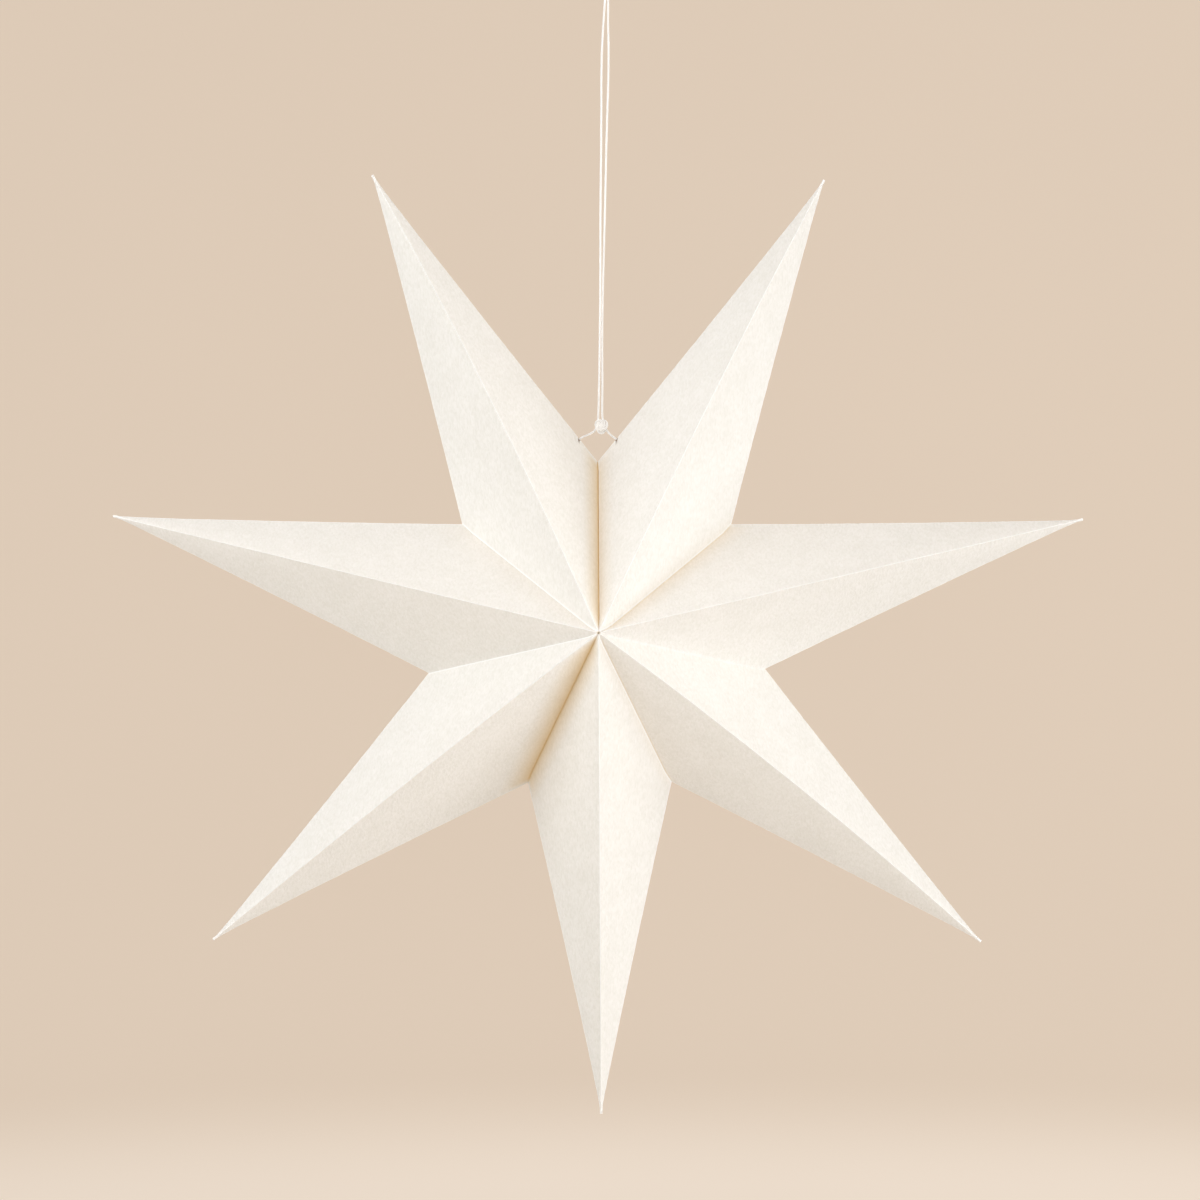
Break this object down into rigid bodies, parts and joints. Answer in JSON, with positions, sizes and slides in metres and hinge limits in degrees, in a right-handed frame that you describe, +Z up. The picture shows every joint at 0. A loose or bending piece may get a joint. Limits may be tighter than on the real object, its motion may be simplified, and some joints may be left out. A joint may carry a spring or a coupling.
{
  "type": "paper star",
  "caption": "Folded paper star with long tapering points, ridged front and back, hung by a knotted cord loop as a decoration.",
  "frame": {"origin": "where the hook bears on the inside of the hanging loop at its top; the whole object hangs below it", "axes": "+X to the right and +Z up as it hangs, front of the star facing -Y, so Y is the thickness of the star"},
  "size_m": [0.6012, 0.1592, 0.7437],
  "materials": {
    "paper": "matte uncoated ivory paper with a fine felt-marked surface",
    "cord": "white braided cotton cord"
  },
  "bodies": {
    "root": {"upper_left_point": "paper", "left_point": "paper", "lower_left_point": "paper", "bottom_point": "paper", "lower_right_point": "paper", "right_point": "paper", "upper_right_point": "paper", "hanging_loop": "cord", "loop_knot": "cord", "left_strand": "cord", "right_strand": "cord", "closing_knot": "cord", "left_leg": "cord", "right_leg": "cord", "left_stopper_knot": "cord", "right_stopper_knot": "cord"}
  },
  "joints": []
}
